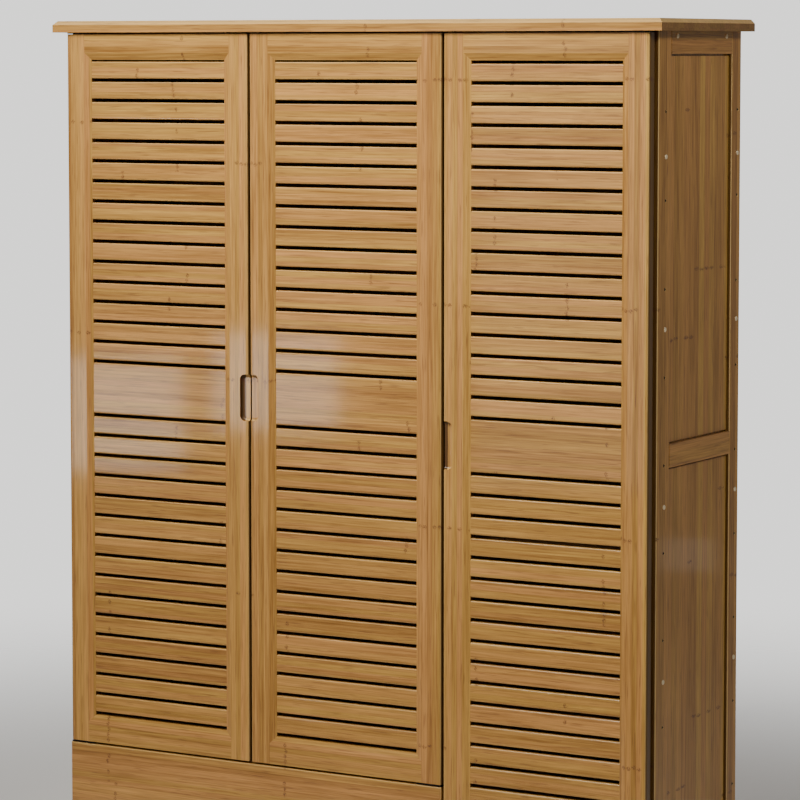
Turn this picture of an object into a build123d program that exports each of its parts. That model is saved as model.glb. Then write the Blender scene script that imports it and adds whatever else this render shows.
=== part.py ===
from build123d import *
import os

# Three-door louvred shoe cabinet in laminated bamboo.
# Millimetres. X runs to the right, the front faces -Y, Z is up from the floor.
# The origin is on the floor, under the middle of the top board.

# Overall size
WIDTH = 1186
DEPTH = 350
HEIGHT = 1460
TOP_THICK = 20
TOP_CHAMFER = 7
TOP_SIDE_OVERHANG = 20
CUT_PAST = 1  # how far a cutting tool runs past the face that it cuts

# Carcass
SIDE_THICK = 20
SIDE_FRONT_Y = -143
SIDE_BACK_Y = 166
FRONT_STILE = 46
REAR_STILE = 36
GLIDE_HEIGHT = 4
GLIDE_WIDTH = 16
GLIDE_INSET = 4
GLIDE_CORNER = 4
TOP_RAIL_Z = (1403, 1440)
MID_RAIL_Z = (737, 775)
BOTTOM_RAIL_Z = (70, 108)
PANEL_THICK = 8
PANEL_RECESS = 5
PANEL_GROOVE = 3
PANEL_GROOVE_DEPTH = 4
BACK_THICK = 6
BOARD_THICK = 16
BOTTOM_BOARD_Z = 70
DECK_Z = 168.8
DIVIDER_X = 190
ARRIS = 3

# Shelves and the fasteners in the side stiles
SHELF_THICK = 12
SHELF_FRONT_Y = -128
SHELF_PITCH = 142.2
FIRST_SCREW_Z = 173.5
SCREW_LEVELS = 9
FASTENER_Y = (-117, 152)
BOLT_Z = (390, 675, 962, 1239)
RAIL_BOLT_Y = (-77, 107)
RAIL_BOLT_Z = (78, 1432)
SCREW_LENGTH = 36.6
SCREW_RADIUS = 1.6
SCREW_HEAD_RADIUS = 2.7
SCREW_HEAD_DEPTH = 2.2
SCREW_INSET = 0.5
CROSS_SPAN = 3.2
CROSS_SLOT = 0.7
CROSS_DEPTH = 0.8
SINK_RADIUS = 2.9
SINK_DEPTH = 2.6
BOLT_LENGTH = 16
BOLT_RADIUS = 2.5
BOLT_HEAD_RADIUS = 4
BOLT_HEAD_HEIGHT = 1.6
BOLT_DOME = 1.2
SOCKET_RADIUS = 1.6
SOCKET_DEPTH = 0.4

# Doors
DOOR_WIDTH = 377
DOOR_PITCH = 380
DOOR_THICK = 20
DOOR_FACE_Y = -167
DOOR_TOP_Z = 1437
SHORT_DOOR_BOTTOM_Z = 188
TALL_DOOR_BOTTOM_Z = 72
DOOR_EDGE_RADIUS = 5
STILE_FLAT = 38
TOP_FLAT = 32.5
BOTTOM_FLAT = 36
BEVEL_WIDTH = 12
BEVEL_DEPTH = 5
SLAT_THICK = 10
SLAT_ARRIS = 1
SLOT = 6

# Slots of the two door heights: drops from the door's top, and slots above the centre slat
SHORT_FIRST_SLOT = 44.6
SHORT_CENTRE_SLAT = (575, 663.7)
SHORT_SLOTS = 16
TALL_FIRST_SLOT = 46.9
TALL_CENTRE_SLAT = (634, 720.6)
TALL_SLOTS = 18

# Finger pulls cut in the door edges
PULL_HEIGHT = 80
PULL_WIDTH = 17
PULL_DEPTH = 7
PULL_CORNER = 9
PULL_COVE = 5.5
SHORT_PULL_Z = 817
TALL_PULL_Z = 758

# Pivot hinges at the top and bottom of each door
PIVOT_INSET = 10.5
PIVOT_Y = -157.5
PIN_RADIUS = 3
PIN_REACH = 14
BUSH_BORE = 3.05
BUSH_RADIUS = 5.5
BUSH_LENGTH = 18
PLATE_THICK = 2
PLATE_LENGTH = 48
PLATE_STEP = 6
PLATE_EDGE_GAP = 1
PLATE_TAB_Y = (-166, -144)
PLATE_FOOT_Y = -110

# Magnetic catches
CATCH_INSET = 80
CATCH_Z = (1424, 1440)
CATCH_GAP = 0.4
MAGNET_LENGTH = 44
MAGNET_BACK_Y = -130
STRIKE_THICK = 2
STRIKE_LENGTH = 36
STRIKE_Z = (1421, 1435)

# Drawer under the two left doors
DRAWER_FRONT_X = (-570, 188.5)
DRAWER_FRONT_Z = (72, 184)
DRAWER_ARRIS = 3
DRAWER_BOX_Z = (94, 158)
DRAWER_BACK_Y = 132
DRAWER_SIDE_THICK = 12
DRAWER_BASE_THICK = 5
DRAWER_BASE_LIFT = 6
GRIP_WIDTH = 240
GRIP_HEIGHT = 16
GRIP_DEPTH = 12
GRIP_COVE = 8

# Telescopic slides; each channel's web place and lip place from the wall, and half height
SLIDE_GAP = 13
SLIDE_Y = (-140, 130)
SLIDE_Z = 126
SLIDE_SHEET = 1.2
SLIDE_CHANNELS = {
    "outer": (0, 10, 17.5),
    "middle": (2.5, 11, 14.5),
    "inner": (SLIDE_GAP, 5, 11.5),
}

# Positions that follow from the sizes above
side_outer = WIDTH / 2 - TOP_SIDE_OVERHANG
side_inner = side_outer - SIDE_THICK
top_low = HEIGHT - TOP_THICK
rail_front = SIDE_FRONT_Y + FRONT_STILE
rail_back = SIDE_BACK_Y - REAR_STILE
back_face = SIDE_BACK_Y - BACK_THICK
floor_board_top = BOTTOM_BOARD_Z + BOARD_THICK
deck_top = DECK_Z + BOARD_THICK
door_back = DOOR_FACE_Y + DOOR_THICK
half_board = BOARD_THICK / 2
screw_heights = [FIRST_SCREW_Z + SHELF_PITCH * level for level in range(SCREW_LEVELS)]

nodes = {}


def block(x, y, z):
    """A box from its lowest and highest value along each axis."""
    size = Box(x[1] - x[0], y[1] - y[0], z[1] - z[0])
    return Pos((x[0] + x[1]) / 2, (y[0] + y[1]) / 2, (z[0] + z[1]) / 2) * size


def group(solids):
    """Like pieces that share one node and stay separate solids."""
    return Compound(children=list(solids))


def add_pair(name, right_piece):
    """A piece of the right-hand side and its mirror image on the left."""
    nodes["right_" + name] = right_piece
    nodes["left_" + name] = mirror(right_piece, about=Plane.YZ)


# Top board, with its upper front and end arrises chamfered
top_board = block((-WIDTH / 2, WIDTH / 2), (-DEPTH / 2, DEPTH / 2), (top_low, HEIGHT))
upper_edges = top_board.edges().group_by(Axis.Z)[-1].sort_by(Axis.Y)[:-1]
nodes["top_board"] = chamfer(upper_edges, TOP_CHAMFER)


# Side frames: two stiles that stand on the floor, three rails and two grooved panels
def countersinks(y):
    """The sinkings for the screw heads down one stile."""
    sink = Rot(0, 90, 0) * Cone(SCREW_RADIUS, SINK_RADIUS, SINK_DEPTH)
    sink = Pos(side_outer - SINK_DEPTH / 2, y, 0) * sink
    return [Pos(0, 0, z) * sink for z in screw_heights]


def side_stile(y_low, y_high, screw_y):
    stile = block((side_inner, side_outer), (y_low, y_high), (GLIDE_HEIGHT, top_low))
    outer = stile.edges().filter_by(Axis.Z).group_by(Axis.X)[-1]
    stile = fillet(outer, ARRIS)
    return stile - countersinks(screw_y)


def side_rail(z):
    return block((side_inner, side_outer), (rail_front, rail_back), z)


def side_panel(z_low, z_high):
    """A recessed panel whose field is set off by a narrow groove all round."""
    face_x = side_outer - PANEL_RECESS
    panel = block((face_x - PANEL_THICK, face_x), (rail_front, rail_back), (z_low, z_high))
    cut_x = (face_x - PANEL_GROOVE_DEPTH, face_x + CUT_PAST)
    ring_y = (rail_front - CUT_PAST, rail_back + CUT_PAST)
    ring = block(cut_x, ring_y, (z_low - CUT_PAST, z_high + CUT_PAST))
    field_y = (rail_front + PANEL_GROOVE, rail_back - PANEL_GROOVE)
    field = block(cut_x, field_y, (z_low + PANEL_GROOVE, z_high - PANEL_GROOVE))
    return panel - (ring - field)


add_pair("front_stile", side_stile(SIDE_FRONT_Y, rail_front, FASTENER_Y[0]))
add_pair("rear_stile", side_stile(rail_back, SIDE_BACK_Y, FASTENER_Y[1]))
add_pair("top_rail", side_rail(TOP_RAIL_Z))
add_pair("middle_rail", side_rail(MID_RAIL_Z))
add_pair("bottom_rail", side_rail(BOTTOM_RAIL_Z))
side_panels = [
    side_panel(BOTTOM_RAIL_Z[1], MID_RAIL_Z[0]),
    side_panel(MID_RAIL_Z[1], TOP_RAIL_Z[0]),
]
nodes["right_side_panels"] = group(side_panels)
nodes["left_side_panels"] = group([mirror(panel, about=Plane.YZ) for panel in side_panels])

# Boards inside the carcass
board_y = (SIDE_FRONT_Y, back_face)
nodes["bottom_board"] = block((-side_inner, side_inner), board_y, (BOTTOM_BOARD_Z, floor_board_top))
nodes["right_divider"] = block(
    (DIVIDER_X - half_board, DIVIDER_X + half_board), board_y, (floor_board_top, top_low)
)
nodes["drawer_deck"] = block((-side_inner, DIVIDER_X - half_board), board_y, (DECK_Z, deck_top))
nodes["left_divider"] = block(
    (-DIVIDER_X - half_board, -DIVIDER_X + half_board), board_y, (deck_top, top_low)
)
nodes["back_panel"] = block(
    (-side_inner, side_inner), (back_face, SIDE_BACK_Y), (BOTTOM_BOARD_Z, top_low)
)

# Fixed shelves, one stack to each bay; the deck takes the lowest level in two of them
bays = {
    "left": (-side_inner, -DIVIDER_X - half_board),
    "middle": (-DIVIDER_X + half_board, DIVIDER_X - half_board),
    "right": (DIVIDER_X + half_board, side_inner),
}
for bay, bay_x in bays.items():
    shelves = []
    for height in screw_heights if bay == "right" else screw_heights[1:]:
        shelf_z = (height - SHELF_THICK / 2, height + SHELF_THICK / 2)
        shelf = block(bay_x, (SHELF_FRONT_Y, back_face), shelf_z)
        front_edges = shelf.edges().filter_by(Axis.X).group_by(Axis.Y)[0]
        shelves.append(fillet(front_edges, ARRIS))
    nodes[bay + "_bay_shelves"] = group(shelves)

# Centre legs under the bottom board, and a nylon glide under every leg
leg_x = (DIVIDER_X - SIDE_THICK / 2, DIVIDER_X + SIDE_THICK / 2)
leg_depths = [(SIDE_FRONT_Y, rail_front), (rail_back, SIDE_BACK_Y)]
nodes["centre_legs"] = group(
    block(leg_x, leg_y, (GLIDE_HEIGHT, BOTTOM_BOARD_Z)) for leg_y in leg_depths
)
glides = []
for glide_x in (-side_outer + SIDE_THICK / 2, DIVIDER_X, side_outer - SIDE_THICK / 2):
    for leg_y in leg_depths:
        glide = block(
            (glide_x - GLIDE_WIDTH / 2, glide_x + GLIDE_WIDTH / 2),
            (leg_y[0] + GLIDE_INSET, leg_y[1] - GLIDE_INSET),
            (0, GLIDE_HEIGHT),
        )
        glides.append(fillet(glide.edges().filter_by(Axis.Z), GLIDE_CORNER))
nodes["foot_glides"] = group(glides)

# Countersunk screws into the shelf ends, and domed socket bolts between them
screw_head = Cone(SCREW_RADIUS, SCREW_HEAD_RADIUS, SCREW_HEAD_DEPTH)
screw_shank = Cylinder(SCREW_RADIUS, SCREW_LENGTH - SINK_DEPTH)
screw = Pos(0, 0, -SCREW_INSET - SCREW_HEAD_DEPTH / 2) * screw_head
screw += Pos(0, 0, -(SCREW_LENGTH + SINK_DEPTH) / 2) * screw_shank
cross = Box(CROSS_SPAN, CROSS_SLOT, 2 * CROSS_DEPTH) + Box(CROSS_SLOT, CROSS_SPAN, 2 * CROSS_DEPTH)
screw -= Pos(0, 0, -SCREW_INSET) * cross
bolt_head = Cylinder(BOLT_HEAD_RADIUS, BOLT_HEAD_HEIGHT)
bolt_head = fillet(bolt_head.edges().group_by(Axis.Z)[-1], BOLT_DOME)
bolt = Pos(0, 0, BOLT_HEAD_HEIGHT / 2) * bolt_head
bolt += Pos(0, 0, -BOLT_LENGTH / 2) * Cylinder(BOLT_RADIUS, BOLT_LENGTH)
socket_key = extrude(RegularPolygon(SOCKET_RADIUS, 6), 2 * SOCKET_DEPTH)
bolt -= Pos(0, 0, BOLT_HEAD_HEIGHT - SOCKET_DEPTH) * socket_key


def in_both_sides(fastener, places):
    """Fasteners driven inwards at (y, z) places in the right side and the left."""
    right = [Pos(side_outer, y, z) * Rot(0, 90, 0) * fastener for y, z in places]
    return group(right + [mirror(piece, about=Plane.YZ) for piece in right])


screw_places = [(y, z) for y in FASTENER_Y for z in screw_heights]
bolt_places = [(y, z) for y in FASTENER_Y for z in BOLT_Z]
bolt_places += [(y, z) for y in RAIL_BOLT_Y for z in RAIL_BOLT_Z]
nodes["side_screws"] = in_both_sides(screw, screw_places)
nodes["side_bolts"] = in_both_sides(bolt, bolt_places)


# Doors: frame with mitred bevels, slats flush with the bevels' foot, pull and pivots
def door_outlines(x, z):
    """The outlines of both stiles and both rails, which meet in mitres at the bevels."""
    flat_x = (x[0] + STILE_FLAT, x[1] - STILE_FLAT)
    flat_z = (z[0] + BOTTOM_FLAT, z[1] - TOP_FLAT)
    open_x = (flat_x[0] + BEVEL_WIDTH, flat_x[1] - BEVEL_WIDTH)
    open_z = (flat_z[0] + BEVEL_WIDTH, flat_z[1] - BEVEL_WIDTH)
    outlines = {}
    for side, end in (("left", 0), ("right", 1)):
        inner = [(flat_x[end], z[1]), (flat_x[end], flat_z[1]), (open_x[end], open_z[1])]
        inner += [(open_x[end], open_z[0]), (flat_x[end], flat_z[0]), (flat_x[end], z[0])]
        outlines[side + "_stile"] = [(x[end], z[0]), (x[end], z[1])] + inner
    for side, end in (("bottom", 0), ("top", 1)):
        inner = [(flat_x[1], flat_z[end]), (open_x[1], open_z[end])]
        inner += [(open_x[0], open_z[end]), (flat_x[0], flat_z[end])]
        outlines[side + "_rail"] = [(flat_x[0], z[end]), (flat_x[1], z[end])] + inner
    return outlines, open_x, open_z


def bevel_cutter(open_x, open_z):
    """A blunt wedge as wide as the opening at the bevels' foot and wider in front."""
    centre_x = sum(open_x) / 2
    centre_z = sum(open_z) / 2
    sections = []
    for reach in (0, 2 * BEVEL_DEPTH):
        spread = 2 * BEVEL_WIDTH * reach / BEVEL_DEPTH
        y = DOOR_FACE_Y + BEVEL_DEPTH - reach
        plane = Plane(origin=(centre_x, y, centre_z), x_dir=(1, 0, 0), z_dir=(0, -1, 0))
        width = open_x[1] - open_x[0] + spread
        height = open_z[1] - open_z[0] + spread
        sections.append(plane * Rectangle(width, height))
    return loft(sections)


def sawn_slat(x, z):
    """A flat slat with its two front arrises eased."""
    y_front = DOOR_FACE_Y + BEVEL_DEPTH
    slat = block(x, (y_front, y_front + SLAT_THICK), z)
    front_edges = slat.edges().filter_by(Axis.X).group_by(Axis.Y)[0]
    return fillet(front_edges, SLAT_ARRIS)


def slat_row(x, first_slot, last_slot, slots):
    """Slats between evenly spaced slots, given the centres of the first and last slot."""
    pitch = (first_slot - last_slot) / (slots - 1)
    edges = [first_slot - pitch * number for number in range(slots)]
    half = SLOT / 2
    return [sawn_slat(x, (low + half, high - half)) for high, low in zip(edges, edges[1:])]


def pull_cutter(edge_x, z):
    """A rounded pocket with a coved wall, centred on the door's edge."""
    pocket = block(
        (edge_x - PULL_WIDTH, edge_x + PULL_WIDTH),
        (DOOR_FACE_Y - CUT_PAST, DOOR_FACE_Y + PULL_DEPTH),
        (z - PULL_HEIGHT / 2, z + PULL_HEIGHT / 2),
    )
    pocket = fillet(pocket.edges().filter_by(Axis.Y), PULL_CORNER)
    return fillet(pocket.edges().group_by(Axis.Y)[-1], PULL_COVE)


def pivot_bush(x, z, inwards):
    """A nylon sleeve pressed into the stile's end, from z in the inward direction."""
    centre = Pos(x, PIVOT_Y, z + inwards * BUSH_LENGTH / 2)
    return centre * (Cylinder(BUSH_RADIUS, BUSH_LENGTH) - Cylinder(BUSH_BORE, BUSH_LENGTH))


def add_door(number, z_low, hinge, first_slot, centre_slat, slots, pull_z):
    """One door; slots and the centre slat are given as drops from the door's top."""
    middle_x = DOOR_PITCH * (number - 2)
    x = (middle_x - DOOR_WIDTH / 2, middle_x + DOOR_WIDTH / 2)
    z = (z_low, DOOR_TOP_Z)
    hinge_end = 0 if hinge == "left" else 1
    inwards = 1 - 2 * hinge_end
    pivot_x = x[hinge_end] + inwards * PIVOT_INSET
    outlines, open_x, open_z = door_outlines(x, z)
    cutter = bevel_cutter(open_x, open_z)
    name = f"door_{number}_"
    for piece, outline in outlines.items():
        face = Plane.XZ.offset(-door_back) * make_face(Polyline(*outline, close=True))
        solid = extrude(face, DOOR_THICK, dir=(0, -1, 0)) - cutter
        if piece.endswith("stile"):
            end = 0 if piece.startswith("left") else -1
            solid = fillet(solid.edges().filter_by(Axis.Z).group_by(Axis.X)[end], DOOR_EDGE_RADIUS)
        if piece == hinge + "_stile":
            socket = Cylinder(BUSH_RADIUS, 2 * BUSH_LENGTH)
            solid -= [Pos(pivot_x, PIVOT_Y, z_end) * socket for z_end in z]
            piece = "hinge_stile"
        elif piece.endswith("stile"):
            solid -= pull_cutter(x[1 - hinge_end], pull_z)
            piece = "pull_stile"
        nodes[name + piece] = solid
    centre_z = (DOOR_TOP_Z - centre_slat[1], DOOR_TOP_Z - centre_slat[0])
    upper_end = centre_z[1] + SLOT / 2
    lower_start = centre_z[0] - SLOT / 2
    slats = slat_row(open_x, DOOR_TOP_Z - first_slot, upper_end, slots)
    slats += slat_row(open_x, lower_start, open_z[0] + SLOT / 2, slots)
    nodes[name + "slats"] = group(slats)
    nodes[name + "centre_slat"] = sawn_slat(open_x, centre_z)
    bushes = [pivot_bush(pivot_x, z[0], 1), pivot_bush(pivot_x, z[1], -1)]
    nodes[name + "pivot_bushes"] = group(bushes)
    catch_x = x[1 - hinge_end] - inwards * CATCH_INSET
    nodes[name + "strike_plate"] = block(
        (catch_x - STRIKE_LENGTH / 2, catch_x + STRIKE_LENGTH / 2),
        (door_back, door_back + STRIKE_THICK),
        STRIKE_Z,
    )
    return pivot_x, inwards, catch_x


short_door = {"z_low": SHORT_DOOR_BOTTOM_Z, "pull_z": SHORT_PULL_Z, "slots": SHORT_SLOTS}
short_door.update(first_slot=SHORT_FIRST_SLOT, centre_slat=SHORT_CENTRE_SLAT)
tall_door = {"z_low": TALL_DOOR_BOTTOM_Z, "pull_z": TALL_PULL_Z, "slots": TALL_SLOTS}
tall_door.update(first_slot=TALL_FIRST_SLOT, centre_slat=TALL_CENTRE_SLAT)
hangings = [
    add_door(1, hinge="left", **short_door),
    add_door(2, hinge="right", **short_door),
    add_door(3, hinge="right", **tall_door),
]

# Pivot plates: a tab in front of the carcass carries the pin, a foot takes the screws
upper_plates = []
lower_plates = []
upper_z = (top_low - PLATE_THICK, top_low)
pin = Cylinder(PIN_RADIUS, PIN_REACH)
plate_floors = (deck_top, deck_top, BOTTOM_BOARD_Z - PLATE_THICK)
for (pivot_x, inwards, _), lower_z in zip(hangings, plate_floors):
    inner_end = pivot_x + inwards * (PLATE_LENGTH - PIVOT_INSET)
    outer_end = pivot_x - inwards * (PIVOT_INSET - PLATE_EDGE_GAP)
    ends = sorted((outer_end, inner_end))
    upper_pin = Pos(pivot_x, PIVOT_Y, upper_z[0] - PIN_REACH / 2) * pin
    upper_plates.append(block(ends, PLATE_TAB_Y, upper_z) + upper_pin)
    plate_z = (lower_z, lower_z + PLATE_THICK)
    lower_pin = Pos(pivot_x, PIVOT_Y, plate_z[1] + PIN_REACH / 2) * pin
    foot_x = sorted((pivot_x + inwards * PLATE_STEP, inner_end))
    foot = block(foot_x, (PLATE_TAB_Y[1], PLATE_FOOT_Y), plate_z)
    lower_plates.append(block(ends, PLATE_TAB_Y, plate_z) + foot + lower_pin)
nodes["upper_pivot_plates"] = group(upper_plates)
nodes["lower_pivot_plates"] = group(lower_plates)

# Magnets under the top board, one to each door
magnet_y = (door_back + STRIKE_THICK + CATCH_GAP, MAGNET_BACK_Y)
nodes["catch_magnets"] = group(
    block((catch_x - MAGNET_LENGTH / 2, catch_x + MAGNET_LENGTH / 2), magnet_y, CATCH_Z)
    for _, _, catch_x in hangings
)

# Drawer: front with a grip under its back edge, and a box on telescopic slides
front = block(DRAWER_FRONT_X, (DOOR_FACE_Y, door_back), DRAWER_FRONT_Z)
front = fillet(front.edges().group_by(Axis.Y)[0], DRAWER_ARRIS)
front_middle = sum(DRAWER_FRONT_X) / 2
grip_z = (DRAWER_FRONT_Z[0] - CUT_PAST, DRAWER_FRONT_Z[0] + GRIP_HEIGHT)
grip_x = (front_middle - GRIP_WIDTH / 2, front_middle + GRIP_WIDTH / 2)
grip = block(grip_x, (door_back - GRIP_DEPTH, door_back + CUT_PAST), grip_z)
grip_roof = grip.edges().filter_by(Axis.X).group_by(Axis.Z)[-1].sort_by(Axis.Y)
nodes["drawer_front"] = front - fillet(grip_roof[:1], GRIP_COVE)

box_x = (-side_inner + SLIDE_GAP, DIVIDER_X - half_board - SLIDE_GAP)
inner_x = (box_x[0] + DRAWER_SIDE_THICK, box_x[1] - DRAWER_SIDE_THICK)
box_y = (door_back, DRAWER_BACK_Y)
nodes["drawer_sides"] = group([
    block((box_x[0], inner_x[0]), box_y, DRAWER_BOX_Z),
    block((inner_x[1], box_x[1]), box_y, DRAWER_BOX_Z),
])
base_low = DRAWER_BOX_Z[0] + DRAWER_BASE_LIFT
base_z = (base_low, base_low + DRAWER_BASE_THICK)
nodes["drawer_back"] = block(
    inner_x, (DRAWER_BACK_Y - DRAWER_SIDE_THICK, DRAWER_BACK_Y), (base_z[1], DRAWER_BOX_Z[1])
)
nodes["drawer_bottom"] = block(inner_x, box_y, base_z)


def channel(x_web, x_lips, half_height, y):
    """A thin channel: its web stands at x_web, and its two flanges reach to x_lips."""
    towards = 1 if x_lips > x_web else -1
    web_x = sorted((x_web, x_web + towards * SLIDE_SHEET))
    flange_x = sorted((x_web, x_lips))
    height = (SLIDE_Z - half_height, SLIDE_Z + half_height)
    shape = block(web_x, y, height)
    shape += block(flange_x, y, (height[0], height[0] + SLIDE_SHEET))
    shape += block(flange_x, y, (height[1] - SLIDE_SHEET, height[1]))
    return shape


# Each slide nests an inner channel on the drawer in a middle one in an outer one
for member, (web, lips, half_height) in SLIDE_CHANNELS.items():
    pair = []
    for wall_x, side in ((-side_inner, 1), (DIVIDER_X - half_board, -1)):
        pair.append(channel(wall_x + side * web, wall_x + side * lips, half_height, SLIDE_Y))
    nodes[f"slide_{member}_rails"] = group(pair)

os.makedirs("parts", exist_ok=True)
for node, shape in nodes.items():
    export_step(shape, f"parts/{node}.step")
print(len(nodes), "nodes")
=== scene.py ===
import math
import bpy
import numpy as np
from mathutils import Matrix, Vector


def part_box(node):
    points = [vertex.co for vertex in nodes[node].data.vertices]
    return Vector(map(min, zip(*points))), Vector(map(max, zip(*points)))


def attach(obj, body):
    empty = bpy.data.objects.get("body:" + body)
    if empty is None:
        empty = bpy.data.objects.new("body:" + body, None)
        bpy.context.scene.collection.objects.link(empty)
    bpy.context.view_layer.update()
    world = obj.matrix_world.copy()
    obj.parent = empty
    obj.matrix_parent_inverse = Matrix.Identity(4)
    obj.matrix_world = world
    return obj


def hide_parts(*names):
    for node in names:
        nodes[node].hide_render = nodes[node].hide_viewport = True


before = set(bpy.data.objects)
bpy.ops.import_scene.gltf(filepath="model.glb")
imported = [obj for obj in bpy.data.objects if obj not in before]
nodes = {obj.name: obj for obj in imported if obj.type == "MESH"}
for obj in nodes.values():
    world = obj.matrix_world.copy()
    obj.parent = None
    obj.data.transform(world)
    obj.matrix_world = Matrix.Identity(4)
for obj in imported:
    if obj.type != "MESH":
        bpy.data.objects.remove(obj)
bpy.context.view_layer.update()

# Side frames: each is two stiles, three rails and two panels of laminated bamboo, lacquered.
# The stiles' and panels' strips stand upright, and the rails' strips run from front to back.
# This section also makes the bamboo itself, which every later wooden piece is cut from.
STRIP = 0.0095  # width of one bamboo strip in the lamination
LAMELLA = 0.031  # width of the wider bands that share one shade
CANE = 0.37  # distance between the knuckles along a cane
BATCH_WIDTH = 0.12  # width of the strips that were split from canes lying knuckle to knuckle

CARAMEL_DARK = (0.25, 0.108, 0.02)
HONEY = (0.64, 0.366, 0.082)
ROSY = (0.66, 0.325, 0.098)
# Colour of eased arrises: rubbed wear together with a painted highlight where the arrises catch
# the light
PALE_ARRIS_WEAR_AND_HIGHLIGHT = (0.86, 0.62, 0.27)
# Dark colour for cut edges, end grain and pull walls: edge stain together with painted shade
STAIN_AND_SHADE = (0.045, 0.017, 0.005)
MARKED = (0.10, 0.03, 0.02)


def bamboo(name, along, dark_faces=None, turned=(0.8, 0.97), dark=0.7, shaded_pocket=None, wear_and_highlight=0.4):
    """Strips glued side by side: tone = strip's own shade + lamella's shade + fibres + streaks.
    A knuckle crosses neighbouring strips at one place, about once in each length of cane.
    along is the axis that the fibres follow, 0 for X, 1 for Y and 2 for Z. Faces turned
    towards the axis dark_faces are darkened: painted shade in gaps and recesses, with the darker
    stain of cut edges and end grain; none where the normal's part on that axis is turned's first
    number, and dark's share where it is the second. Eased arrises, whose normals lean off every
    axis, are painted paler: rubbed wear with a painted highlight. A pull's wall, in the box from
    shaded_pocket's lowest to its highest corner, gets painted shade in the same dark colour."""
    material = bpy.data.materials.new(name)
    material.use_nodes = True
    tree = material.node_tree
    shader = tree.nodes["Principled BSDF"]

    def add(kind, **settings):
        made = tree.nodes.new(kind)
        for key, value in settings.items():
            setattr(made, key, value)
        return made

    def feed(socket, value):
        if isinstance(value, bpy.types.NodeSocket):
            tree.links.new(value, socket)
        else:
            socket.default_value = value

    def calc(operation, *values):
        made = add("ShaderNodeMath", operation=operation)
        for socket, value in zip(made.inputs, values):
            feed(socket, value)
        return made.outputs[0]

    def vector(x, y, z):
        made = add("ShaderNodeCombineXYZ")
        for socket, value in zip(made.inputs, (x, y, z)):
            feed(socket, value)
        return made.outputs[0]

    def chance(x, y, z):
        made = add("ShaderNodeTexWhiteNoise", noise_dimensions="3D")
        feed(made.inputs["Vector"], vector(x, y, z))
        return made.outputs["Value"]

    def fade(value, near, far):
        """1 below near and 0 above far, with a soft turn between."""
        made = add("ShaderNodeMapRange", interpolation_type="SMOOTHSTEP")
        feed(made.inputs["Value"], value)
        for socket, number in zip(("From Min", "From Max", "To Min", "To Max"), (near, far, 1, 0)):
            made.inputs[socket].default_value = number
        return made.outputs[0]

    def blend(factor, first, second):
        made = add("ShaderNodeMix", data_type="RGBA")
        feed(made.inputs["Factor"], factor)
        for socket, colour in (("A", first), ("B", second)):
            if isinstance(colour, bpy.types.NodeSocket):
                tree.links.new(colour, made.inputs[socket])
            else:
                made.inputs[socket].default_value = (*colour, 1)
        return made.outputs["Result"]

    # Where a point lies along the fibres, across the strips and through the layers
    split = add("ShaderNodeSeparateXYZ")
    feed(split.inputs[0], add("ShaderNodeTexCoord").outputs["Object"])
    batch = add("ShaderNodeAttribute", attribute_name="batch").outputs["Fac"]
    across = [axis for axis in (2, 0, 1) if axis != along]
    length, width, depth = [split.outputs[axis] for axis in (along, *across)]
    shift_along, shift_across = 2.3, 0.217  # how far each batch moves the pattern
    u = calc("MULTIPLY_ADD", batch, shift_along, length)
    v = calc("MULTIPLY_ADD", batch, shift_across, width)
    strip_place = calc("DIVIDE", v, STRIP)
    strip = calc("FLOOR", strip_place)
    layer_place = calc("DIVIDE", depth, 2 * STRIP)
    layer = calc("FLOOR", layer_place)

    def noise(along_fibres, across_fibres, detail):
        """A pattern with so many waves per metre along the fibres and across them."""
        made = add("ShaderNodeTexNoise")
        feed(made.inputs["Vector"], vector(calc("MULTIPLY", u, along_fibres),
                                           calc("MULTIPLY", v, across_fibres),
                                           calc("MULTIPLY", depth, across_fibres)))
        made.inputs["Scale"].default_value = 1
        made.inputs["Detail"].default_value = detail
        return made.outputs["Fac"]

    # The clean wood's colour: each pattern adds its own share to the tone
    lamella_draw, colour_draw, cane_draw, kept_draw = 7.3, 5.7, 4.9, 18.1  # keep draws apart
    shade = chance(strip, layer, batch)
    lamella = chance(calc("FLOOR", calc("DIVIDE", v, LAMELLA)), layer, lamella_draw)
    fibres = noise(along_fibres=16, across_fibres=620, detail=2)
    streaks = noise(along_fibres=7, across_fibres=260, detail=3)
    cloud = noise(along_fibres=4, across_fibres=11, detail=1)
    tone = 0
    for pattern, share in ((lamella, 0.16), (shade, 0.16), (fibres, 0.4), (streaks, 0.62),
                           (cloud, 0.22)):
        tone = calc("MULTIPLY_ADD", pattern, share, tone)
    ramp = add("ShaderNodeMapRange")
    feed(ramp.inputs["Value"], tone)
    ramp.inputs["From Min"].default_value = 0.5
    ramp.inputs["From Max"].default_value = 1.04
    pale = blend(chance(strip, layer, colour_draw), HONEY, ROSY)
    wood = blend(ramp.outputs[0], CARAMEL_DARK, pale)

    # Paler arrises (rubbed wear with a painted highlight), and darkened cut edges and pull walls
    # (edge stain with painted shade)
    facing = add("ShaderNodeSeparateXYZ")
    feed(facing.inputs[0], add("ShaderNodeTexCoord").outputs["Normal"])
    lean = [calc("ABSOLUTE", output) for output in facing.outputs]
    most = calc("MAXIMUM", lean[0], calc("MAXIMUM", lean[1], lean[2]))
    arris = fade(most, near=0.8, far=0.92)
    wood = blend(calc("MULTIPLY", arris, wear_and_highlight), wood, PALE_ARRIS_WEAR_AND_HIGHLIGHT)
    if dark_faces is not None:
        square = fade(lean[dark_faces], *reversed(turned))
        wood = blend(calc("MULTIPLY", square, dark), wood, STAIN_AND_SHADE)
    if shaded_pocket is not None:
        inside = 0.88  # the painted shade's share inside the box
        for place, lowest, highest in zip(split.outputs, *shaded_pocket):
            inside = calc("MULTIPLY", inside, calc("GREATER_THAN", place, lowest))
            inside = calc("MULTIPLY", inside, calc("LESS_THAN", place, highest))
        wood = blend(inside, wood, STAIN_AND_SHADE)

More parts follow.
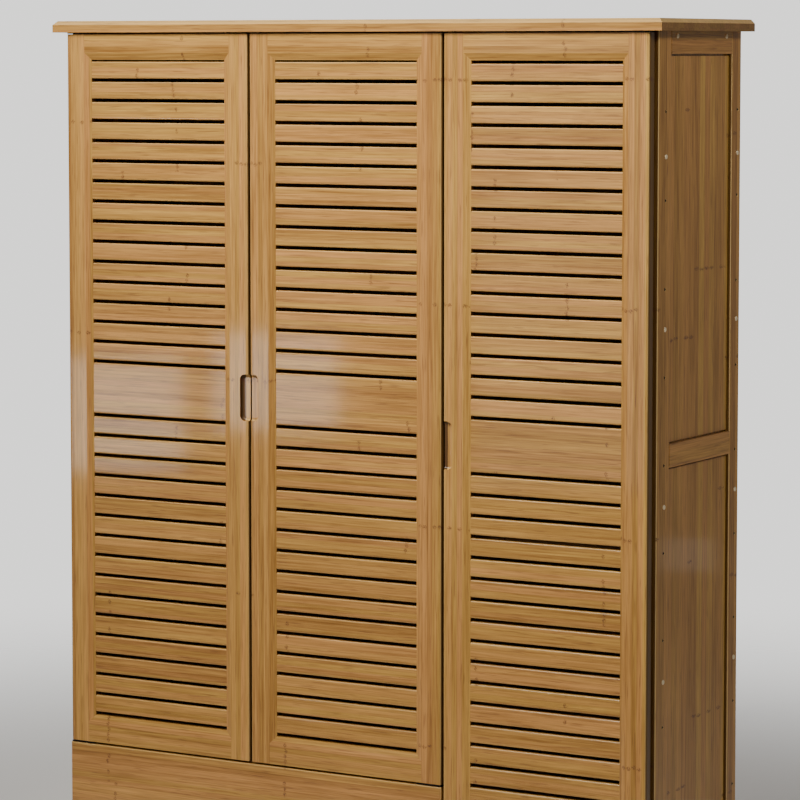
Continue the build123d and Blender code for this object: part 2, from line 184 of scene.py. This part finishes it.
    # Knuckles: a thin ring across the strip, with dark specks round it
    batch_column = calc("FLOOR", calc("DIVIDE", width, BATCH_WIDTH))
    batch_row = calc("FLOOR", calc("DIVIDE", depth, BATCH_WIDTH))
    start = chance(batch_column, calc("FLOOR", batch), calc("ADD", batch_row, cane_draw))
    drift = 0.004  # how far a knuckle wanders from strip to strip
    drifted = calc("MULTIPLY_ADD", shade, drift, length)
    cane = calc("ADD", calc("DIVIDE", drifted, CANE), start)

    def off_centre(place):
        """How far a place is from the middle of its own whole step."""
        return calc("ABSOLUTE", calc("SUBTRACT", calc("FRACT", place), 0.5))

    off_knuckle = calc("MULTIPLY", off_centre(cane), CANE)
    off_strip = off_centre(strip_place)
    off_layer = off_centre(layer_place)
    shows_layers = calc("GREATER_THAN", lean[across[0]], 0.5)  # 1 on faces that cross layers
    off_middle = calc("MULTIPLY_ADD", shows_layers, calc("SUBTRACT", off_layer, off_strip),
                      off_strip)
    draw = chance(calc("FLOOR", cane), strip, calc("ADD", layer, kept_draw))
    lost = 0.5  # the share of knuckles that was cut away
    kept = calc("GREATER_THAN", draw, lost)
    speck_length, speck_width = 0.0032, 0.38  # along the fibres, and as a share of a strip
    reach = calc("ADD", calc("POWER", calc("DIVIDE", off_knuckle, speck_length), 2),
                 calc("POWER", calc("DIVIDE", off_middle, speck_width), 2))
    speckle = noise(along_fibres=520, across_fibres=520, detail=1)
    specks = calc("MULTIPLY", fade(reach, near=0.3, far=1.9), fade(speckle, near=0.56, far=0.44))
    ring = calc("MULTIPLY", fade(off_knuckle, near=0.0003, far=0.0018), 0.4)
    knuckle = calc("MULTIPLY", calc("MAXIMUM", specks, ring), kept)

    # Seams between strips, and dark veins
    seam_gap = calc("MULTIPLY", calc("SUBTRACT", 0.5, off_middle),
                    calc("MULTIPLY_ADD", shows_layers, STRIP, STRIP))
    veins = noise(along_fibres=22, across_fibres=430, detail=1)
    seam_dark, vein_dark, knuckle_dark = 0.16, 0.35, 0.72
    seam = calc("MULTIPLY", fade(seam_gap, near=0.0001, far=0.0007), seam_dark)
    vein = calc("MULTIPLY", fade(veins, near=0.28, far=0.4), vein_dark)
    marks = calc("MAXIMUM", calc("MULTIPLY", knuckle, knuckle_dark), calc("MAXIMUM", seam, vein))
    feed(shader.inputs["Base Color"], blend(marks, wood, MARKED))

    # The surface, and the lacquer over it
    plain_roughness, streak_roughness = 0.29, 0.14
    feed(shader.inputs["Roughness"],
         calc("MULTIPLY_ADD", streaks, streak_roughness, plain_roughness))
    bump = add("ShaderNodeBump")
    bump.inputs["Strength"].default_value = 0.35
    bump.inputs["Distance"].default_value = 0.0001
    feed(bump.inputs["Height"], calc("SUBTRACT", fibres, knuckle))
    feed(shader.inputs["Normal"], bump.outputs[0])
    lacquer, sanded_off = 0.5, 0.4  # the coat on a flat face, and what an arris has lost of it
    feed(shader.inputs["Coat Weight"], calc("MULTIPLY_ADD", arris, -sanded_off, lacquer))
    shader.inputs["Specular IOR Level"].default_value = 0.2
    shader.inputs["Coat Roughness"].default_value = 0.065
    shader.inputs["Coat IOR"].default_value = 1.5
    return material


# Door edges: faces turned sideways are darkened, painted shade in the gaps between doors and
# beside the side frames, with darker edge grain
DOOR_EDGE = {"dark_faces": 0, "turned": (0.5, 0.85), "dark": 0.8}
upright = bamboo("bamboo_upright", 2)
# Side frames: faces turned to the front and back are darkened, painted shade in the recesses
# beside the panels with darker edge grain, and the arrises get a strong painted highlight
side_upright = bamboo("bamboo_side_upright", 2, dark_faces=1, wear_and_highlight=0.85)
door_upright = bamboo("bamboo_door_upright", 2, **DOOR_EDGE)
level = bamboo("bamboo_level", 0)
top_level = bamboo("bamboo_top_level", 0, dark_faces=0, dark=0.5)
front_to_back = bamboo("bamboo_front_to_back", 1)


def finish_in(material, *names):
    """Gives CAD nodes their finish."""
    for name in names:
        for place in nodes[name].material_slots:
            place.material = material


for hand in ("left", "right"):
    finish_in(side_upright, f"{hand}_front_stile", f"{hand}_rear_stile", f"{hand}_side_panels")
    finish_in(front_to_back, f"{hand}_top_rail", f"{hand}_middle_rail", f"{hand}_bottom_rail")

# Boards and shelves: bamboo boards let in between the side frames, with their strips running
# the board's long way. The back panel is a thin sheet with upright strips.
finish_in(level, "bottom_board", "drawer_deck")
finish_in(level, "left_bay_shelves", "middle_bay_shelves", "right_bay_shelves")
finish_in(upright, "left_divider", "right_divider", "back_panel", "centre_legs")

# Top board: one laminated board with its strips running from end to end, and with its end
# faces darkened. It overhangs the doors and the side frames that it rests on.
finish_in(top_level, "top_board")

# Side fasteners: blackened countersunk screws hold the shelves, and bright socket bolts
# with domed heads hold the side frames.
SCRATCH_SPREAD = 0.3  # how far scratches move the roughness, as a share of it
DULLED = 0.85  # brightness of the dullest patches


def metal(name, colour, roughness, scratch, bare=1):
    """Metal whose roughness wanders with fine scratches. bare is below 1 under a satin finish,
    which scatters a share of the light."""
    material = bpy.data.materials.new(name)
    material.use_nodes = True
    tree = material.node_tree
    shader = tree.nodes["Principled BSDF"]
    shader.inputs["Metallic"].default_value = bare
    place = tree.nodes.new("ShaderNodeTexCoord")
    grain = tree.nodes.new("ShaderNodeTexNoise")
    grain.inputs["Scale"].default_value = scratch
    grain.inputs["Detail"].default_value = 4
    tree.links.new(place.outputs["Object"], grain.inputs["Vector"])
    spread = tree.nodes.new("ShaderNodeMapRange")
    spread.inputs["To Min"].default_value = roughness * (1 - SCRATCH_SPREAD)
    spread.inputs["To Max"].default_value = roughness * (1 + SCRATCH_SPREAD)
    tree.links.new(grain.outputs["Fac"], spread.inputs["Value"])
    tree.links.new(spread.outputs[0], shader.inputs["Roughness"])
    tint = tree.nodes.new("ShaderNodeMix")
    tint.data_type = "RGBA"
    tint.inputs["A"].default_value = (*[DULLED * part for part in colour], 1)
    tint.inputs["B"].default_value = (*colour, 1)
    tree.links.new(grain.outputs["Fac"], tint.inputs["Factor"])
    tree.links.new(tint.outputs["Result"], shader.inputs["Base Color"])
    return material


blackened = metal("blackened_steel", (0.03, 0.025, 0.022), 0.45, 900)
nickel = metal("nickel", (1, 0.84, 0.56), 0.4, 700, bare=0.2)
zinc = metal("zinc_plate", (0.62, 0.64, 0.66), 0.32, 250)
finish_in(blackened, "side_screws")
finish_in(nickel, "side_bolts")

# Glides, bushes and catches: the glides and bushes are moulded in off-white nylon, and the
# catches' magnets sit in brown moulded cases. The pivot plates are blackened steel.
MOTTLE = 0.9  # brightness of the darker mottling
MOTTLE_WAVES = 1200  # waves per metre


def moulded(name, colour, roughness):
    """Moulded plastic with a fine surface texture and a faint mottle."""
    material = bpy.data.materials.new(name)
    material.use_nodes = True
    tree = material.node_tree
    shader = tree.nodes["Principled BSDF"]
    shader.inputs["Roughness"].default_value = roughness
    place = tree.nodes.new("ShaderNodeTexCoord")
    grain = tree.nodes.new("ShaderNodeTexNoise")
    grain.inputs["Scale"].default_value = MOTTLE_WAVES
    tree.links.new(place.outputs["Object"], grain.inputs["Vector"])
    tint = tree.nodes.new("ShaderNodeMix")
    tint.data_type = "RGBA"
    tint.inputs["A"].default_value = (*[MOTTLE * part for part in colour], 1)
    tint.inputs["B"].default_value = (*colour, 1)
    tree.links.new(grain.outputs["Fac"], tint.inputs["Factor"])
    tree.links.new(tint.outputs["Result"], shader.inputs["Base Color"])
    bump = tree.nodes.new("ShaderNodeBump")
    bump.inputs["Strength"].default_value = 0.2
    bump.inputs["Distance"].default_value = 0.0001
    tree.links.new(grain.outputs["Fac"], bump.inputs["Height"])
    tree.links.new(bump.outputs[0], shader.inputs["Normal"])
    return material


nylon = moulded("nylon", (0.72, 0.69, 0.62), 0.45)
brown_case = moulded("brown_case", (0.16, 0.085, 0.04), 0.4)
finish_in(nylon, "foot_glides")
finish_in(brown_case, "catch_magnets")
finish_in(blackened, "upper_pivot_plates", "lower_pivot_plates")

# Doors: a frame of two stiles and two rails with mitred bevels, and flat slats housed in it
# with narrow slots between. Each slat is cut from its own length of bamboo board.
ARRIS = 0.0025  # radius of the slats' eased long edges
ARRIS_STEPS = 5
STATIONS = 5  # outlines along a slat
LEAN = 0.22  # the most that a slat is set out of upright, in degrees
BOW = 0.00006  # the most that its middle stands off its ends
SLATS_FROM_A_BOARD = 5


def rounded_outline(low, high):
    """A rectangle in the YZ plane with quarter circles of radius ARRIS at its corners."""
    turn = np.linspace(0, math.pi / 2, ARRIS_STEPS)
    corners = []
    for quarter, (y, z) in enumerate(((0, 0), (0, 1), (1, 1), (1, 0))):
        centre_y = low[0] + ARRIS if y == 0 else high[0] - ARRIS
        centre_z = low[1] + ARRIS if z == 0 else high[1] - ARRIS
        angle = -math.pi / 2 - quarter * math.pi / 2 - turn
        corner = [centre_y + ARRIS * np.cos(angle), centre_z + ARRIS * np.sin(angle)]
        corners.append(np.stack(corner, 1))
    return np.concatenate(corners)


def slat_mesh(name, edges, x, y, body, seed):
    """Slats as one outline carried along X: every ring of the grid is the outline at one
    station, and the end rings are closed by caps. edges holds each slat's low and high Z."""
    random = np.random.default_rng(seed)
    stations = np.linspace(x[0], x[1], STATIONS)
    points, faces, batches = [], [], []
    for low, high in edges:
        outline = rounded_outline((y[0], low), (y[1], high))
        count = len(outline)
        lean = math.radians(random.uniform(-LEAN, LEAN))
        middle = (low + high) / 2
        bow = random.uniform(-1, 1) * BOW
        ring_y = outline[:, 0] + (outline[:, 1] - middle) * math.tan(lean)
        start = sum(len(part) for part in points)
        bend = bow * np.sin(np.linspace(0, math.pi, len(stations)))
        grid = np.empty((len(stations), count, 3))
        grid[:, :, 0] = stations[:, None]
        grid[:, :, 1] = np.clip(ring_y[None, :] + bend[:, None], y[0], None)
        grid[:, :, 2] = outline[None, :, 1]
        points.append(grid.reshape(-1, 3))
        batch = len(points) // SLATS_FROM_A_BOARD + random.uniform(0, 1)
        batches.append(np.full(len(stations) * count, batch))
        ring = np.arange(count)
        after = (ring + 1) % count
        for station in range(len(stations) - 1):
            here = start + station * count
            there = here + count
            faces += np.stack([here + ring, there + ring, there + after, here + after], 1).tolist()
        faces.append((start + ring[::-1]).tolist())
        faces.append((start + (len(stations) - 1) * count + ring).tolist())
    mesh = bpy.data.meshes.new(name)
    mesh.from_pydata(np.concatenate(points).tolist(), [], faces)
    attribute = mesh.attributes.new("batch", "FLOAT", "POINT")
    attribute.data.foreach_set("value", np.concatenate(batches).astype(np.float32))
    mesh.materials.append(level)
    slats = bpy.data.objects.new(name, mesh)
    bpy.context.scene.collection.objects.link(slats)
    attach(slats, body)
    return slats


SLAT_STEP = 0.002  # a longer step between heights is a slat's face or a slot


def slat_edges(node):
    """The low and high Z of each slat in a CAD node, from the gaps between its vertices."""
    count = len(nodes[node].data.vertices)
    places = np.empty(count * 3)
    nodes[node].data.vertices.foreach_get("co", places)
    heights = np.unique(places.reshape(-1, 3)[:, 2].round(6))
    ends = np.split(heights, np.nonzero(np.diff(heights) > SLAT_STEP)[0] + 1)
    return [(bottom.min(), top.max()) for bottom, top in zip(ends[::2], ends[1::2])]


PULL_HALF = 0.041  # half of a pull's height
PULL_Y = (-0.166, -0.155)  # the front and the back of a pull's wall
# The walls of the pulls on doors 1 and 3 are darkened as painted shade in the pull's hollow
SHADED_PULL_WALLS = ((1, (-0.2087, -0.2003), 0.817), (3, (0.19, 0.1972), 0.758))  # door, X, middle Z
pull_finish = {2: door_upright}
for number, wall_x, middle_z in SHADED_PULL_WALLS:
    wall_z = (middle_z - PULL_HALF, middle_z + PULL_HALF)
    wall = tuple(zip(wall_x, PULL_Y, wall_z))
    pull_finish[number] = bamboo(f"bamboo_pull_{number}", 2, shaded_pocket=wall, **DOOR_EDGE)

for number in (1, 2, 3):
    door = f"door_{number}"
    finish_in(door_upright, f"{door}_hinge_stile")
    finish_in(pull_finish[number], f"{door}_pull_stile")
    finish_in(level, f"{door}_top_rail", f"{door}_bottom_rail")
    finish_in(nylon, f"{door}_pivot_bushes")
    finish_in(blackened, f"{door}_strike_plate")
    for part in ("slats", "centre_slat"):
        lowest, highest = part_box(f"{door}_{part}")
        piece = slat_mesh(f"{door}_louvre_{part}", slat_edges(f"{door}_{part}"),
                          (lowest.x, highest.x), (lowest.y, highest.y), door,
                          seed=number * 10 + len(part))
        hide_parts(f"{door}_{part}")

# Drawer: a bamboo box behind a plain front as wide as two doors, on zinc-plated telescopic
# slides that are screwed to the side frame and the divider.
finish_in(level, "drawer_front", "drawer_back", "drawer_bottom")
finish_in(front_to_back, "drawer_sides")
finish_in(zinc, "slide_outer_rails", "slide_middle_rails", "slide_inner_rails")

# Studio: a pale floor that fades into the surround, a large soft key above the front left,
# soft fills from the right and from behind, and small low panels that the lacquer mirrors.
FLOOR_EDGE = 3.2
FLOOR_SIDES = 96
FLOOR_FADE = (0.8, 3.1)  # distances from the middle at which the floor starts and stops fading
turn = np.linspace(0, 2 * math.pi, FLOOR_SIDES + 1)[:-1]
rim = np.stack([FLOOR_EDGE * np.cos(turn), FLOOR_EDGE * np.sin(turn), 0 * turn], 1)
floor_mesh = bpy.data.meshes.new("floor")
floor_mesh.from_pydata(rim.tolist(), [], [tuple(range(len(turn)))])
floor = bpy.data.objects.new("floor", floor_mesh)
bpy.context.scene.collection.objects.link(floor)
floor_finish = bpy.data.materials.new("pale_floor")
floor_finish.use_nodes = True
floor_tree = floor_finish.node_tree
floor_shader = floor_tree.nodes["Principled BSDF"]
floor_shader.inputs["Base Color"].default_value = (0.86, 0.85, 0.83, 1)
floor_shader.inputs["Roughness"].default_value = 0.8
floor_place = floor_tree.nodes.new("ShaderNodeTexCoord")
floor_reach = floor_tree.nodes.new("ShaderNodeVectorMath")
floor_reach.operation = "LENGTH"
floor_tree.links.new(floor_place.outputs["Object"], floor_reach.inputs[0])
floor_fade = floor_tree.nodes.new("ShaderNodeMapRange")
floor_fade.interpolation_type = "SMOOTHSTEP"
for name, number in zip(("From Min", "From Max", "To Min", "To Max"), (*FLOOR_FADE, 1, 0)):
    floor_fade.inputs[name].default_value = number
floor_tree.links.new(floor_reach.outputs["Value"], floor_fade.inputs["Value"])
floor_tree.links.new(floor_fade.outputs[0], floor_shader.inputs["Alpha"])
floor_mesh.materials.append(floor_finish)

world = bpy.data.worlds.new("studio")
bpy.context.scene.world = world
world.use_nodes = True
sky = world.node_tree
sky_light = sky.nodes["Background"]
sky_light.inputs["Color"].default_value = (1, 0.98, 0.94, 1)
sky_light.inputs["Strength"].default_value = 0.18
backdrop = sky.nodes.new("ShaderNodeBackground")
backdrop.inputs["Color"].default_value = (1, 0.99, 0.965, 1)
backdrop.inputs["Strength"].default_value = 1.45
sky_choice = sky.nodes.new("ShaderNodeMixShader")
sky.links.new(sky.nodes.new("ShaderNodeLightPath").outputs["Is Camera Ray"], sky_choice.inputs[0])
sky.links.new(sky_light.outputs[0], sky_choice.inputs[1])
sky.links.new(backdrop.outputs[0], sky_choice.inputs[2])
sky.links.new(sky_choice.outputs[0], sky.nodes["World Output"].inputs["Surface"])


def soft_light(name, place, target, size, watts, spread=180, colour=(1, 1, 1)):
    """A rectangular area light at place, turned to face target."""
    data = bpy.data.lights.new(name, "AREA")
    data.shape = "RECTANGLE"
    data.size, data.size_y = size
    data.energy = watts
    data.color = colour
    data.spread = math.radians(spread)
    lamp = bpy.data.objects.new(name, data)
    bpy.context.scene.collection.objects.link(lamp)
    lamp.location = place
    away = Vector(place) - Vector(target)
    lamp.rotation_euler = away.to_track_quat("Z", "Y").to_euler()


WARM = (1, 0.95, 0.9)
WARMER = (1, 0.93, 0.86)
soft_light("key", place=(-0.65, -2.0, 2.8), target=(0.15, 0, 1.3), size=(1.4, 1.2),
           watts=24, spread=80, colour=(1, 0.96, 0.9))
soft_light("fill_right", place=(2.5, -1.6, 2.6), target=(0.57, 0, 1.35), size=(0.5, 0.5),
           watts=2, spread=45, colour=(1, 0.95, 0.88))
soft_light("fill_behind", place=(-1.8, 3.6, 2.6), target=(0, 0, 0.7), size=(1.6, 1.2), watts=45)
soft_light("panel_left", place=(-3.15, -4.0, 0.28), target=(-0.45, -0.17, 0.76),
           size=(0.35, 0.36), watts=3.4, colour=WARMER)
soft_light("panel_middle", place=(-2.6, -4.0, 0.41), target=(-0.15, -0.17, 0.85),
           size=(0.38, 0.29), watts=2.9, colour=WARMER)
soft_light("panel_right", place=(-1.5, -4.0, 0.8), target=(0.45, -0.17, 0.95),
           size=(0.7, 1.3), watts=3.6, colour=WARM)
soft_light("panel_side", place=(2.026, 3.0, 0.09), target=(0.57, -0.02, 0.585),
           size=(0.15, 0.085), watts=0.018, colour=WARM)

# Camera: a long lens at the height of the cabinet's top, from the front right, looking down
# a little.
camera_data = bpy.data.cameras.new("camera")
camera = bpy.data.objects.new("camera", camera_data)
bpy.context.scene.collection.objects.link(camera)
bpy.context.scene.camera = camera
camera_data.sensor_width = 36
camera_data.lens = 153.5
camera_data.shift_y = -0.1
camera_data.clip_end = 100
LOOKING_DOWN = 4.495
TURNED_LEFT = 30.546
camera.location = (2.9787, -5.0294, 1.4064)
camera.rotation_euler = (math.radians(90 - LOOKING_DOWN), 0, math.radians(TURNED_LEFT))
